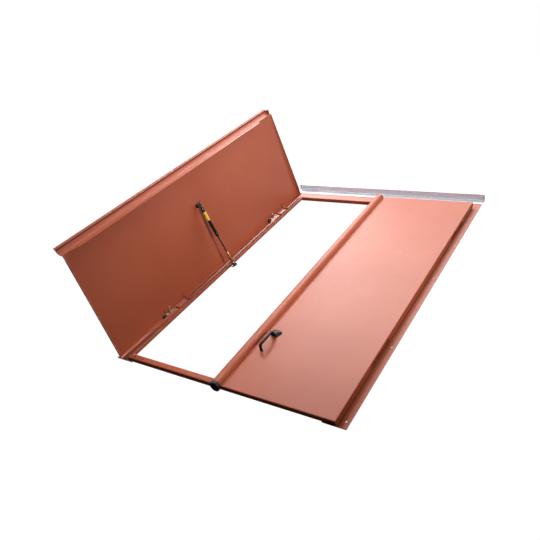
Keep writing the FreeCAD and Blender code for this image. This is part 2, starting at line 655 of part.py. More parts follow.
for item in doc.Objects:
    if "Invalid" in item.State or "Error" in item.State:
        raise RuntimeError(f"{item.Name} failed: {item.State}")
os.makedirs("parts", exist_ok=True)
for piece in NODES:
    if piece.Shape.isNull() or not piece.Shape.isValid() or piece.Shape.Volume <= 0:
        raise RuntimeError(f"{piece.Label} has no valid shape")
for piece in NODES:
    piece.Shape.exportStep(f"parts/{piece.Label}.step")
print(len(NODES), "nodes written")
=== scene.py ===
"""Steel bulkhead cellar door: finish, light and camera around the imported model."""
import json
import math

import bmesh
import bpy
from mathutils import Matrix, Vector

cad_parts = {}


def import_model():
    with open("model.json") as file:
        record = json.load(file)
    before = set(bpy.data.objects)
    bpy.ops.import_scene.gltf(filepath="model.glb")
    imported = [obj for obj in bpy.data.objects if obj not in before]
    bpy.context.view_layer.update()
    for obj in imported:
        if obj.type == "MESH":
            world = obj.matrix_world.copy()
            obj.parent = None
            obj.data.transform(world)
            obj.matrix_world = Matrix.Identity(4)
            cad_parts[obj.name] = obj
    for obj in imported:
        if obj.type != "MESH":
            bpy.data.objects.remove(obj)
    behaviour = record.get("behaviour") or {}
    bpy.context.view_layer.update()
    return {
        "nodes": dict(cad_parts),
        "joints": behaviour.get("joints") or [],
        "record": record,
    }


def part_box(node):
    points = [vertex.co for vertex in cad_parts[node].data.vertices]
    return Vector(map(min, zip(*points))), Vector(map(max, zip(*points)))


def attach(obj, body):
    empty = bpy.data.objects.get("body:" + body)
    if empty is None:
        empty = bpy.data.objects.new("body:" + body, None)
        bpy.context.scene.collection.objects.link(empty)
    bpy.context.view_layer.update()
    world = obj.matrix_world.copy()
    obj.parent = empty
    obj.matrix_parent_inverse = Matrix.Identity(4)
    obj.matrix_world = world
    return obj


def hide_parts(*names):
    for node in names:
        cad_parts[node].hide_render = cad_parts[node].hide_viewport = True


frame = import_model()
NODES = frame["nodes"]
JOINTS = {row["name"]: row for row in frame["joints"]}
SLOT_OF = {item["node"]: item["material_slot"] for item in frame["record"]["subparts"]}
BODIES = frame["record"]["behaviour"]["bodies"]
BODY_OF = {node: body for body, members in BODIES.items() for node in members}
SIDES = ("left", "right")
LEVELS = ("lower", "upper")
MM = 0.001

# Materials, with colours in linear light

PAINT = (0.39, 0.074, 0.025)
PAINT_WORN = (0.43, 0.091, 0.036)
ZINC_DARK = (0.67, 0.70, 0.76)
ZINC_LIGHT = (0.76, 0.79, 0.85)
NOISE_LOW = 0.3
NOISE_HIGH = 0.7


def new_material(name):
    """Start a material and return it with its node tree and shader."""
    material = bpy.data.materials.new(name)
    material.use_nodes = True
    tree = material.node_tree
    return material, tree, tree.nodes["Principled BSDF"]


def texture(tree, kind, **settings):
    """Add a texture that follows the piece's own coordinates."""
    place = tree.nodes.new("ShaderNodeTexCoord")
    node = tree.nodes.new(kind)
    tree.links.new(place.outputs["Object"], node.inputs["Vector"])
    for name, value in settings.items():
        node.inputs[name].default_value = value
    return node


def ramp(tree, source, dark, light, low=NOISE_LOW, high=NOISE_HIGH):
    """Map a grey value between a low and a high place to shades from dark to light."""
    node = tree.nodes.new("ShaderNodeValToRGB")
    tree.links.new(source, node.inputs["Fac"])
    for element, place, colour in zip(node.color_ramp.elements, (low, high), (dark, light)):
        element.position = place
        element.color = (*colour, 1)
    return node.outputs["Color"]


def spread(tree, source, low, high):
    """Map a texture's middle range to a range of numbers."""
    node = tree.nodes.new("ShaderNodeMapRange")
    node.inputs["From Min"].default_value = NOISE_LOW
    node.inputs["From Max"].default_value = NOISE_HIGH
    node.inputs["To Min"].default_value = low
    node.inputs["To Max"].default_value = high
    tree.links.new(source, node.inputs["Value"])
    return node.outputs["Result"]


def bump(tree, source, shader, depth, before=None):
    """Add relief of a given depth in metres, over any relief before it, and return its normal."""
    node = tree.nodes.new("ShaderNodeBump")
    node.inputs["Strength"].default_value = 1.0
    node.inputs["Distance"].default_value = depth
    tree.links.new(source, node.inputs["Height"])
    if before is not None:
        tree.links.new(before, node.inputs["Normal"])
    tree.links.new(node.outputs["Normal"], shader.inputs["Normal"])
    return node.outputs["Normal"]


def red_paint():
    """Satin red primer: slow shade drift, orange peel and a faint wave of the sheet."""
    material, tree, shader = new_material("red_primer_paint")
    drift = texture(tree, "ShaderNodeTexNoise", Scale=2.2, Detail=3.0)
    colour = ramp(tree, drift.outputs["Fac"], PAINT, PAINT_WORN, low=0.35, high=0.65)
    tree.links.new(colour, shader.inputs["Base Color"])
    fine = texture(tree, "ShaderNodeTexNoise", Scale=90.0, Detail=4.0)
    gloss = spread(tree, fine.outputs["Fac"], low=0.40, high=0.50)
    tree.links.new(gloss, shader.inputs["Roughness"])
    wave = texture(tree, "ShaderNodeTexNoise", Scale=4.0, Detail=1.0)
    waved = bump(tree, wave.outputs["Fac"], shader, depth=0.6 * MM)
    peel = texture(tree, "ShaderNodeTexNoise", Scale=420.0, Detail=2.0)
    bump(tree, peel.outputs["Fac"], shader, depth=0.04 * MM, before=waved)
    return material


def galvanized():
    """Hot-dip zinc: spangle cells of slightly differing shade and gloss."""
    material, tree, shader = new_material("galvanized_sheet")
    shader.inputs["Metallic"].default_value = 0.55
    cells = texture(tree, "ShaderNodeTexVoronoi", Scale=85.0)
    grey = tree.nodes.new("ShaderNodeSeparateColor")
    tree.links.new(cells.outputs["Color"], grey.inputs["Color"])
    colour = ramp(tree, grey.outputs["Red"], ZINC_DARK, ZINC_LIGHT, low=0.0, high=1.0)
    tree.links.new(colour, shader.inputs["Base Color"])
    gloss = spread(tree, grey.outputs["Green"], low=0.38, high=0.45)
    tree.links.new(gloss, shader.inputs["Roughness"])
    grain = texture(tree, "ShaderNodeTexNoise", Scale=260.0, Detail=3.0)
    bump(tree, grain.outputs["Fac"], shader, depth=0.012 * MM)
    return material


def plain_finish(name, dark, light, rough, scale, detail=3.0, metallic=0.0, gloss=0.5, relief=None):
    """Finish whose shade and roughness drift between two values, with a fine grain where relief is given."""
    material, tree, shader = new_material(name)
    shader.inputs["Metallic"].default_value = metallic
    shader.inputs["Specular IOR Level"].default_value = gloss
    drift = texture(tree, "ShaderNodeTexNoise", Scale=scale, Detail=detail).outputs["Fac"]
    tree.links.new(ramp(tree, drift, dark, light), shader.inputs["Base Color"])
    tree.links.new(spread(tree, drift, *rough), shader.inputs["Roughness"])
    if relief is not None:
        bump(tree, drift, shader, relief)
    return material


def plain_metal(name, **settings):
    """Bare or plated metal."""
    return plain_finish(name, detail=4.0, metallic=1.0, **settings)


FINISH = {
    "primer_paint": red_paint(),
    "galvanized_steel": galvanized(),
    "zinc_plated_steel": plain_metal(
        "zinc_plate", dark=(0.42, 0.43, 0.34), light=(0.62, 0.62, 0.52), rough=(0.28, 0.42), scale=160.0),
    "brass_sleeve": plain_metal(
        "satin_brass", dark=(0.72, 0.42, 0.16), light=(0.86, 0.54, 0.24), rough=(0.30, 0.42), scale=220.0),
    "strut_rod_steel": plain_metal(
        "dark_rod", dark=(0.06, 0.055, 0.05), light=(0.11, 0.10, 0.09), rough=(0.18, 0.28), scale=200.0),
    "black_metal": plain_finish(
        "black_enamel", dark=(0.008, 0.008, 0.008), light=(0.016, 0.016, 0.015), rough=(0.22, 0.34),
        scale=300.0, relief=0.02 * MM),
    "black_rubber": plain_finish(
        "black_rubber", dark=(0.010, 0.008, 0.008), light=(0.024, 0.018, 0.017), rough=(0.50, 0.66),
        scale=260.0, relief=0.05 * MM),
    "handle_black": plain_finish(
        "gloss_black", dark=(0.006, 0.006, 0.007), light=(0.012, 0.012, 0.013), rough=(0.12, 0.20),
        scale=240.0, relief=0.02 * MM, gloss=0.08),
}
YELLOW = plain_finish(
    "yellow_label", dark=(0.84, 0.56, 0.04), light=(0.95, 0.70, 0.07), rough=(0.22, 0.30),
    scale=180.0, relief=0.01 * MM)
# Painted shade: a dark brown finish for the strip that stands in for the shadow in the lap's hollow.
PAINTED_SHADE_LINE = plain_finish(
    "painted_shade_line", dark=(0.10, 0.024, 0.014), light=(0.14, 0.036, 0.020), rough=(0.55, 0.70),
    scale=140.0, relief=0.1 * MM)
BRIGHT_STEEL = plain_metal(
    "bright_steel", dark=(0.55, 0.55, 0.54), light=(0.75, 0.75, 0.74), rough=(0.16, 0.28), scale=180.0)

for each_name, each_node in NODES.items():
    each_node.data.materials.clear()
    each_node.data.materials.append(FINISH[SLOT_OF[each_name]])

# Mesh tools

LATHE_STEPS = 40
CREASE = math.radians(38)
X = Vector((1, 0, 0))
Y = Vector((0, 1, 0))
Z = Vector((0, 0, 1))


def blended(low, high, share):
    """Number between two others."""
    return low + (high - low) * share


def bridge(mesh, first, second):
    """Join two rings of points, either of which may be a single point."""
    count = max(len(first), len(second))
    for index in range(count):
        after = (index + 1) % count
        corners = [first[index % len(first)], first[after % len(first)],
                   second[after % len(second)], second[index % len(second)]]
        mesh.faces.new(list(dict.fromkeys(corners)))


def turned(radius, end, edge, sign=1):
    """Profile of an edge, given as pairs of inset from a radius and distance from an end, in millimetres."""
    return [(radius - inset, end + sign * distance) for inset, distance in edge]


def lathe(mesh, base, axis, profile, closed=False):
    """Turn a profile of radius and height pairs, in millimetres, about an axis through a base point."""
    side = axis.orthogonal().normalized()
    other = axis.cross(side)
    turns = [2 * math.pi * index / LATHE_STEPS for index in range(LATHE_STEPS)]
    spokes = [math.cos(turn) * side + math.sin(turn) * other for turn in turns]
    rings = []
    for radius, height in profile:
        centre = base + axis * (height * MM)
        if radius == 0:
            rings.append([mesh.verts.new(centre)])
        else:
            rings.append([mesh.verts.new(centre + radius * MM * spoke) for spoke in spokes])
    for low, high in zip(rings, rings[1:]):
        bridge(mesh, low, high)
    if closed:
        bridge(mesh, rings[-1], rings[0])


def rounded_path(corners, radii, steps=8):
    """Line of points along straight runs, with an arc at each inner corner."""
    points = [corners[0]]
    for before, corner, after, radius in zip(corners, corners[1:], corners[2:], radii):
        toward = (before - corner).normalized()
        away = (after - corner).normalized()
        half = toward.angle(away) / 2
        middle = corner + (toward + away).normalized() * (radius / math.sin(half))
        start = corner + toward * (radius / math.tan(half)) - middle
        end = corner + away * (radius / math.tan(half)) - middle
        for step in range(steps + 1):
            spoke = start.lerp(end, step / steps).normalized()
            points.append(middle + spoke * radius)
    points.append(corners[-1])
    return points


def rounded_rectangle(width, height, radius, steps=4):
    """Closed section with rounded corners, as pairs about its middle."""
    section = []
    for quarter, (across, up) in enumerate(((1, 1), (-1, 1), (-1, -1), (1, -1))):
        centre = (across * (width / 2 - radius), up * (height / 2 - radius))
        for step in range(steps + 1):
            turn = math.pi / 2 * (quarter + step / steps)
            section.append((centre[0] + radius * math.cos(turn), centre[1] + radius * math.sin(turn)))
    return section


def circle(radius, count=16):
    """Closed round section, as pairs about its middle."""
    turns = [2 * math.pi * index / count for index in range(count)]
    return [(radius * math.cos(turn), radius * math.sin(turn)) for turn in turns]


def sweep(mesh, points, across, sections):
    """Join sections along a path that lies in the plane square to one direction, and close both ends."""
    rings = []
    for index, (point, section) in enumerate(zip(points, sections)):
        ahead = points[min(index + 1, len(points) - 1)]
        behind = points[max(index - 1, 0)]
        normal = across.cross((ahead - behind).normalized())
        rings.append([mesh.verts.new(point + first * across + second * normal) for first, second in section])
    for low, high in zip(rings, rings[1:]):
        bridge(mesh, low, high)
    mesh.faces.new(list(reversed(rings[0])))
    mesh.faces.new(rings[-1])


def plate(mesh, outline, lift, bevel, steps=3):
    """Stand a closed outline up by a height and round its upper edge."""
    base = mesh.faces.new([mesh.verts.new(point) for point in outline])
    raised = bmesh.ops.extrude_face_region(mesh, geom=[base])["geom"]
    top = [item for item in raised if isinstance(item, bmesh.types.BMVert)]
    bmesh.ops.translate(mesh, verts=top, vec=lift)
    rim = [item for item in raised if isinstance(item, bmesh.types.BMEdge)]
    bmesh.ops.bevel(mesh, geom=rim, offset=bevel, segments=steps, affect="EDGES", profile=0.5)


def piece(name, mesh, body, material, replaces=()):
    """Turn finished mesh work into an object that rides on a body."""
    bmesh.ops.recalc_face_normals(mesh, faces=mesh.faces)
    data = bpy.data.meshes.new(name)
    mesh.to_mesh(data)
    mesh.free()
    for polygon in data.polygons:
        polygon.use_smooth = True
    data.set_sharp_from_angle(angle=CREASE)
    data.materials.append(material)
    thing = bpy.data.objects.new(name, data)
    bpy.context.scene.collection.objects.link(thing)
    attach(thing, body)
    if replaces:
        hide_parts(*replaces)


def finished_piece(name, mesh, body, slot):
    """Make a piece with the finish of one of the record's material slots."""
    piece(name, mesh, body, FINISH[slot])


def stand_in(node_name, mesh):
    """Make a finished piece that takes a node's place, body and finish."""
    slot = SLOT_OF[node_name]
    piece(node_name + "_detail", mesh, BODY_OF[node_name], FINISH[slot], [node_name])


# Gas struts, in millimetres: edges are pairs of inset and distance, profiles pairs of radius and height

CHAMFER_EDGE = ((0, 1), (0.8, 0))
GUIDE_RADIUS = 4.5
GUIDE_DEPTH = 6
GUIDE_CHAMFER = 0.6
CYLINDER_FOOT_EDGE = ((2.6, 0), (1.2, 0.8), (0.4, 2.4), (0, 5))
CYLINDER_CRIMP_EDGE = ((0, 17), (0.7, 18.5), (0.7, 20), (0, 21.5))
CYLINDER_DOME_EDGE = ((0, 9), (0.4, 5), (1.4, 2.2), (3.4, 0.6), (4.5, 0))
LABEL_TOP = 31
LABEL_FOOT = 86
LABEL_THICK = 0.25
LABEL_SINK = 0.1
SLEEVE_FOOT_EDGE = ((1.6, 0), (0.4, 0.6), (0, 2))
SLEEVE_GROOVE_EDGE = ((0, 8), (0.5, 9), (0.5, 10), (0, 11))
SLEEVE_LIP_EDGE = ((0, 3), (0.4, 1), (1.4, 0), (2.6, 0))
EYE_HALF_WIDTH = 6
EYE_RADIUS = 8
EYE_HOLE = 4.1
EYE_RIM_EDGE = ((1.6, 0), (0.5, 0.7), (0, 2))
NECK = 14
NECK_RADIUS = 5.6
NECK_WAIST_PROFILE = ((0, 5), (4.2, 5), (4.4, 8))
NECK_COLLAR_EDGE = ((0.6, 3), (0, 1.5), (0, 0))
FOOT_STUD_RADIUS = 4.3
FOOT_STUD_PROFILE = ((0, -0.8), (2.2, -0.7), (3.6, 0), (FOOT_STUD_RADIUS, 1.2))
FOOT_STUD_GAP = 0.4
HEAD_STUD_PROFILE = ((0, -0.5), (4.6, -0.5), (4.6, 0.6), (3.9, 1.4), (2.4, 2.0), (0, 2.2))


def strut_line(side):
    """Return a strut's foot centre and the direction to its head."""
    foot = Vector(JOINTS[f"{side}_strut_swing"]["pos_m"])
    return foot, Vector(JOINTS[f"{side}_strut_slide"]["axis"]).normalized()


def reach_along(node_name, base, axis):
    """Return where a node starts and ends along an axis, and its radius about it, in millimetres."""
    offsets = [vertex.co - base for vertex in NODES[node_name].data.vertices]
    heights = [offset.dot(axis) / MM for offset in offsets]
    radius = max((offset - axis * offset.dot(axis)).length for offset in offsets) / MM
    return min(heights), max(heights), radius


def strut_head(side):
    """Centre of a strut's upper eye."""
    foot, axis = strut_line(side)
    cylinder_end = reach_along(f"{side}_strut_cylinder", foot, axis)[1]
    return foot + axis * ((cylinder_end + NECK) * MM)


def strut_cylinder(side):
    """Pressed cylinder with a rolled-in guide end, a crimp groove and a domed head."""
    node_name = f"{side}_strut_cylinder"
    foot, axis = strut_line(side)
    low, high, radius = reach_along(node_name, foot, axis)
    guide = [(0, low + GUIDE_DEPTH), (GUIDE_RADIUS, low + GUIDE_DEPTH), (GUIDE_RADIUS, low + GUIDE_CHAMFER),
             (GUIDE_RADIUS + GUIDE_CHAMFER, low)]
    foot_end = turned(radius, low, CYLINDER_FOOT_EDGE + CYLINDER_CRIMP_EDGE)
    head_end = turned(radius, high, CYLINDER_DOME_EDGE, -1)
    mesh = bmesh.new()
    lathe(mesh, foot, axis, [*guide, *foot_end, *head_end, (0, high)])
    stand_in(node_name, mesh)


def strut_label(side):
    """Blank yellow label round the cylinder."""
    node_name = f"{side}_strut_cylinder"
    foot, axis = strut_line(side)
    _, high, radius = reach_along(node_name, foot, axis)
    inside = radius - LABEL_SINK
    outside = radius + LABEL_THICK
    start = high - LABEL_FOOT
    end = high - LABEL_TOP
    mesh = bmesh.new()
    lathe(mesh, foot, axis, [(inside, start), (outside, start), (outside, end), (inside, end)], closed=True)
    piece(f"{side}_strut_label", mesh, BODY_OF[node_name], YELLOW)


def strut_rod(side):
    """Dark rod with a chamfered end."""
    node_name = f"{side}_strut_rod"
    foot, axis = strut_line(side)
    low, high, radius = reach_along(node_name, foot, axis)
    mesh = bmesh.new()
    lathe(mesh, foot, axis, [(0, low), (radius, low), *turned(radius, high, CHAMFER_EDGE, -1), (0, high)])
    stand_in(node_name, mesh)


def strut_sleeve(side):
    """Brass sleeve with a groove and a turned-in lip at each end."""
    node_name = f"{side}_strut_sleeve"
    foot, axis = strut_line(side)
    low, high, radius = reach_along(node_name, foot, axis)
    foot_end = turned(radius, low, SLEEVE_FOOT_EDGE + SLEEVE_GROOVE_EDGE)
    head_end = turned(radius, high, SLEEVE_LIP_EDGE, -1)
    mesh = bmesh.new()
    lathe(mesh, foot, axis, [(0, low), *foot_end, *head_end, (0, high)])
    stand_in(node_name, mesh)


def strut_eye(node_name, centre, axis):
    """Moulded eye: a barrel with rounded rims about the stud, and a waisted neck toward the strut."""
    near_rim = turned(EYE_RADIUS, -EYE_HALF_WIDTH, EYE_RIM_EDGE)
    far_rim = turned(EYE_RADIUS, EYE_HALF_WIDTH, EYE_RIM_EDGE[::-1], -1)
    collar = turned(NECK_RADIUS, NECK, NECK_COLLAR_EDGE, -1)
    mesh = bmesh.new()
    barrel = [(EYE_HOLE, -EYE_HALF_WIDTH), *near_rim, *far_rim, (EYE_HOLE, EYE_HALF_WIDTH)]
    lathe(mesh, centre, Y, barrel, closed=True)
    lathe(mesh, centre, axis, [*NECK_WAIST_PROFILE, *collar, (0, NECK)])
    stand_in(node_name, mesh)


def foot_stud(side):
    """Bright end of the stud on the frame, which runs up to the strut's lower eye."""
    foot, _ = strut_line(side)
    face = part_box(f"{side}_strut_foot")[0][1]
    reach = (foot[1] - EYE_HALF_WIDTH * MM - face) / MM - FOOT_STUD_GAP
    mesh = bmesh.new()
    lathe(mesh, Vector((foot[0], face, foot[2])), Y,
          [*FOOT_STUD_PROFILE, (FOOT_STUD_RADIUS, reach), (0, reach)])
    piece(f"{side}_strut_foot_stud", mesh, "frame", BRIGHT_STEEL)


def head_stud(side):
    """Bright domed end of the stud on the leaf."""
    node_name = f"{side}_strut_head"
    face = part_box(node_name)[0][1]
    centre = strut_head(side)
    mesh = bmesh.new()
    lathe(mesh, Vector((centre[0], face, centre[2])), -Y, HEAD_STUD_PROFILE)
    piece(f"{side}_strut_head_stud", mesh, BODY_OF[node_name], BRIGHT_STEEL)


for each_side in SIDES:
    strut_foot, strut_axis = strut_line(each_side)
    strut_cylinder(each_side)
    strut_label(each_side)
    strut_rod(each_side)
    strut_sleeve(each_side)
    strut_eye(f"{each_side}_strut_rod_eye", strut_foot, strut_axis)
    strut_eye(f"{each_side}_strut_cylinder_eye", strut_head(each_side), -strut_axis)
    foot_stud(each_side)
    head_stud(each_side)

# Hinge pins and caps, in millimetres

PIN_RADIUS = 3.5
GRIP_RADIUS = 2
GRIP_STATION = 48
GRIP_REACH = 30
GRIP_BEND = 5
GRIP_HOOK = 9
CAP_RADIUS = 7.5
CAP_DOME_EDGE = ((2.2, 0.2), (0.8, 1.2), (0, 3.2))
CAP_RIM_EDGE = ((0, 6), (0.5, 5), (0, 3.6), (0, 1), (0.6, 0))
CAP_BORE_GAP = 0.1
CAP_BORE_DEPTH = 12


def leaf_inward(side):
    """Direction at rest from a leaf's hinge toward its meeting edge."""
    swing = math.radians(-JOINTS["left_leaf_hinge"]["range_deg"][0]) if side == "left" else math.pi
    return Vector((math.cos(swing), 0, math.sin(swing)))


def on_hinge_line(side, node_name):
    """Return where a node starts on its leaf's hinge line, and its length in millimetres."""
    low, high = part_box(node_name)
    hinge = JOINTS[f"{side}_leaf_hinge"]["pos_m"]
    return Vector((hinge[0], low[1], hinge[2])), (high[1] - low[1]) / MM


def hinge_pin(side, level):
    """Plated pin with chamfered ends and a bent wire grip."""
    node_name = f"{side}_hinge_pin_{level}"
    base, length = on_hinge_line(side, node_name)
    near_end = turned(PIN_RADIUS, 0, CHAMFER_EDGE[::-1])
    far_end = turned(PIN_RADIUS, length, CHAMFER_EDGE, -1)
    mesh = bmesh.new()
    lathe(mesh, base, Y, [(0, 0), *near_end, *far_end, (0, length)])
    inward = leaf_inward(side)
    root = base + Y * (GRIP_STATION * MM)
    elbow = root + inward * ((GRIP_REACH - GRIP_RADIUS) * MM)
    hook = elbow + Y * (GRIP_HOOK * MM)
    bend = rounded_path([root, elbow, hook], [GRIP_BEND * MM])
    sweep(mesh, bend, inward.cross(Y), [circle(GRIP_RADIUS * MM)] * len(bend))
    stand_in(node_name, mesh)


def hinge_cap(side, level):
    """Dark rounded cap on a pin's end."""
    node_name = f"{side}_hinge_cap_{level}"
    base, length = on_hinge_line(side, node_name)
    dome = turned(CAP_RADIUS, 0, CAP_DOME_EDGE)
    rim = turned(CAP_RADIUS, length, CAP_RIM_EDGE, -1)
    bore = PIN_RADIUS + CAP_BORE_GAP
    bore_end = length - CAP_BORE_DEPTH
    mesh = bmesh.new()
    lathe(mesh, base, Y, [(0, 0), *dome, *rim, (bore, length), (bore, bore_end), (0, bore_end)])
    stand_in(node_name, mesh)


for each_side in SIDES:
    for each_level in LEVELS:
        hinge_pin(each_side, each_level)
        hinge_cap(each_side, each_level)

# Lift handle: its edges are rounded by a share of its thickness

BAR_WIDTH = 15 * MM
BAR_THICK = 8.5 * MM
BAR_LENGTH = 109 * MM
BAR_EDGE_SHARE = 0.45
NEAR_BEND = 11 * MM
FAR_BEND = 17 * MM
FAR_BEND_FLARE = 1.35
FAR_BEND_EDGE_SHARE = 0.4
FOOT_BEND = 6 * MM
LEG_WIDTH = 36 * MM
LEG_THICK = 6 * MM
LEG_TOP_SHARE = 0.86
LEG_EDGE_SHARE = 0.35
FAN_WIDTH = 59 * MM
FAN_LENGTH = 46 * MM
FAN_THICK = 5 * MM
FAN_TIP_START = 0.7
FAN_TIP_CUT = 0.8
BEND_STEPS = 12
FAN_STEPS = 20


def strap(width, thick, edge_share):
    """Section of the handle."""
    return rounded_rectangle(width, thick, thick * edge_share)


def handle_corners():
    """Points where the handle's line starts, turns and ends, from the bar's near leg to the foot's tip."""
    low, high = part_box("lift_handle")
    middle = (low[0] + high[0]) / 2
    front = low[1] + BAR_THICK / 2
    back = front + BAR_LENGTH
    tip = back - BAR_THICK / 2 + FAN_LENGTH
    bar_level = high[2] - BAR_THICK / 2
    foot_level = low[2] + FAN_THICK / 2
    places = ((front, low[2]), (front, bar_level), (back, bar_level), (back, foot_level), (tip, foot_level))
    return [Vector((middle, along, up)) for along, up in places]


def fan_width(share):
    """Width of the fan-shaped foot, which grows from the leg's and is cut round toward the tip."""
    past = max(0, share - FAN_TIP_START) / (1 - FAN_TIP_START)
    full = blended(LEG_WIDTH, FAN_WIDTH, math.sin(share * math.pi / 2))
    return full * math.sqrt(1 - FAN_TIP_CUT * past ** 2)


def lift_handle():
    """Glossy bent strap: a round-edged bar, a leg that flares toward the wall and a fan-shaped foot."""
    corners = handle_corners()
    line = rounded_path(corners, [NEAR_BEND, FAR_BEND, FOOT_BEND], steps=BEND_STEPS)[:-1]
    shares = [step / BEND_STEPS for step in range(BEND_STEPS + 1)]
    sections = [strap(BAR_WIDTH, BAR_THICK, BAR_EDGE_SHARE)] * (len(line) - 2 * len(shares))
    for share in shares:
        width = blended(BAR_WIDTH, BAR_WIDTH * FAR_BEND_FLARE, share)
        sections.append(strap(width, blended(BAR_THICK, LEG_THICK, share), FAR_BEND_EDGE_SHARE))
    for share in shares:
        width = blended(LEG_WIDTH * LEG_TOP_SHARE, LEG_WIDTH, share)
        sections.append(strap(width, LEG_THICK, LEG_EDGE_SHARE))
    foot_start = line[-1]
    for step in range(1, FAN_STEPS + 1):
        share = math.sin(step / FAN_STEPS * math.pi / 2)
        line.append(foot_start.lerp(corners[-1], share))
        sections.append(strap(fan_width(share), blended(LEG_THICK, FAN_THICK, share), LEG_EDGE_SHARE))
    mesh = bmesh.new()
    sweep(mesh, line, X, sections)
    stand_in("lift_handle", mesh)


lift_handle()

# Foot end: ridge cap, foot rail rivets and side rail ends, in millimetres

RIDGE_CAP_DISH = 2.4
RIDGE_CAP_EDGE = ((8, 2.2), (6, 0.4), (4, 0), (1.4, 0.8), (0, 3.4))
RIVET_RADIUS = 4
RIVET_HEIGHT = 2
RIVET_SINK = 1
RIVET_EDGE = ((0, -RIVET_SINK), (0, 0.4), (0.8, 1.2), (2.2, 1.8))
RIVET_INSETS = (21, 77)
RIVET_PLACE = 0.45
RAIL_END_WIDTH = 18.6
RAIL_END_HEIGHT = 29.2
RAIL_END_GAP = 0.1
RAIL_END_LIFT = 0.3
RAIL_END_ROUND = 0.5
RAIL_SHEET = 2.7


def ridge_cap():
    """Dark plug with a rolled rim on the ridge's foot end."""
    low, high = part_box("ridge_foot_cap")
    radius = (high[0] - low[0]) / 2 / MM
    depth = (high[1] - low[1]) / MM
    base = Vector(((low[0] + high[0]) / 2, low[1], (low[2] + high[2]) / 2))
    rim = turned(radius, 0, RIDGE_CAP_EDGE)
    mesh = bmesh.new()
    lathe(mesh, base, Y, [(0, RIDGE_CAP_DISH), *rim, (radius, depth), (0, depth)])
    stand_in("ridge_foot_cap", mesh)


def rail_rivets():
    """Dark domed rivets near both ends of the foot rail."""
    low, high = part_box("foot_rail")
    along = blended(low[1], high[1], RIVET_PLACE)
    profile = [(0, -RIVET_SINK), *turned(RIVET_RADIUS, 0, RIVET_EDGE), (0, RIVET_HEIGHT)]
    for side, end, sign in (("left", low[0], 1), ("right", high[0], -1)):
        mesh = bmesh.new()
        for inset in RIVET_INSETS:
            lathe(mesh, Vector((end + sign * inset * MM, along, high[2])), Z, profile)
        finished_piece(f"{side}_foot_rail_rivets", mesh, "frame", "black_metal")


def rail_ends():
    """Small plates that close the foot ends of the folded side rails, beside the foot rail."""
    low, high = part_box("foot_rail")
    inside = low[1] + RAIL_SHEET * MM
    corners = ((RAIL_END_GAP, RAIL_END_LIFT), (RAIL_END_WIDTH, RAIL_END_LIFT),
               (RAIL_END_WIDTH, RAIL_END_HEIGHT), (RAIL_END_GAP, RAIL_END_HEIGHT))
    for side, end, sign in (("left", low[0], -1), ("right", high[0], 1)):
        outline = [Vector((end + sign * across * MM, inside, up * MM)) for across, up in corners]
        mesh = bmesh.new()
        plate(mesh, outline, Y * (-RAIL_SHEET * MM), RAIL_END_ROUND * MM)
        finished_piece(f"{side}_rail_end", mesh, "frame", "primer_paint")


ridge_cap()
rail_rivets()
rail_ends()

# Open leaf, in millimetres from its hinge line: reach toward the meeting edge, height toward the outside

LAP_REACH = 626
LAP_RADIUS = 31
SKIN_HEIGHT = 14
LAP_END_CLEARANCE = 5
LAP_END_GAP = 0.1
LAP_END_THICK = 2
LAP_END_ROUND = 0.5
LAP_END_STEPS = 12
FLANGE_FOOT = (625.5, 45.5)
FLANGE_TIP = (634.5, 54.5)
FLANGE_THICK = 1.6
FLANGE_ROUND = 0.6
# Painted shade strip in the lap's hollow: angles in degrees along the lap's arc, sizes in millimetres.
SHADE_LINE_START = 76
SHADE_LINE_END = 90
SHADE_LINE_THICK = 0.2
SHADE_LINE_SINK = 0.5
SHADE_LINE_MARGIN = 3
SHADE_LINE_STEPS = 6
TAPER_START = (30, -11)
TAPER_END = (595, 8)
WALL_LIP_ZONE = 2.5 * MM
WELD = 1e-6


def leaf_point(reach, height, place):
    """Point drawn from the open leaf's hinge, in millimetres, at a place along the leaf in metres."""
    inward = leaf_inward("left")
    outward = Vector((-inward[2], 0, inward[0]))
    hinge = Vector(JOINTS["left_leaf_hinge"]["pos_m"])
    return Vector((hinge[0], place, hinge[2])) + (reach * inward + height * outward) * MM


def lap_point(radius, turn, place):
    """Point about the centre of the lap's arc, which starts at the skin, at a place along the leaf."""
    return leaf_point(LAP_REACH - radius * math.cos(turn), SKIN_HEIGHT + radius * math.sin(turn), place)


def lap_end():
    """Plate that closes the lap at the wall end, past the ridge, and stays clear of the skin below it."""
    wall_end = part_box("left_lap_strip")[1][1]
    first = math.asin(LAP_END_CLEARANCE / LAP_RADIUS)
    turns = [blended(first, math.pi / 2, step / LAP_END_STEPS) for step in range(LAP_END_STEPS + 1)]
    outline = [lap_point(LAP_RADIUS - LAP_END_GAP, turn, wall_end) for turn in turns]
    outline.append(lap_point(LAP_END_CLEARANCE, math.pi / 2, wall_end))
    mesh = bmesh.new()
    plate(mesh, outline, Y * (-LAP_END_THICK * MM), LAP_END_ROUND * MM)
    finished_piece("left_lap_end", mesh, BODY_OF["left_lap_strip"], "primer_paint")


def lap_flange():
    """Sloping flange along the lap's free edge."""
    low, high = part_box("left_lap_strip")
    slope = leaf_point(*FLANGE_TIP, 0) - leaf_point(*FLANGE_FOOT, 0)
    run = [leaf_point(*FLANGE_FOOT, place) + slope / 2 for place in (low[1], high[1])]
    section = rounded_rectangle(slope.length, FLANGE_THICK * MM, FLANGE_ROUND * MM)
    mesh = bmesh.new()
    sweep(mesh, run, slope.normalized(), [section] * len(run))
    finished_piece("left_lap_flange", mesh, BODY_OF["left_lap_strip"], "primer_paint")


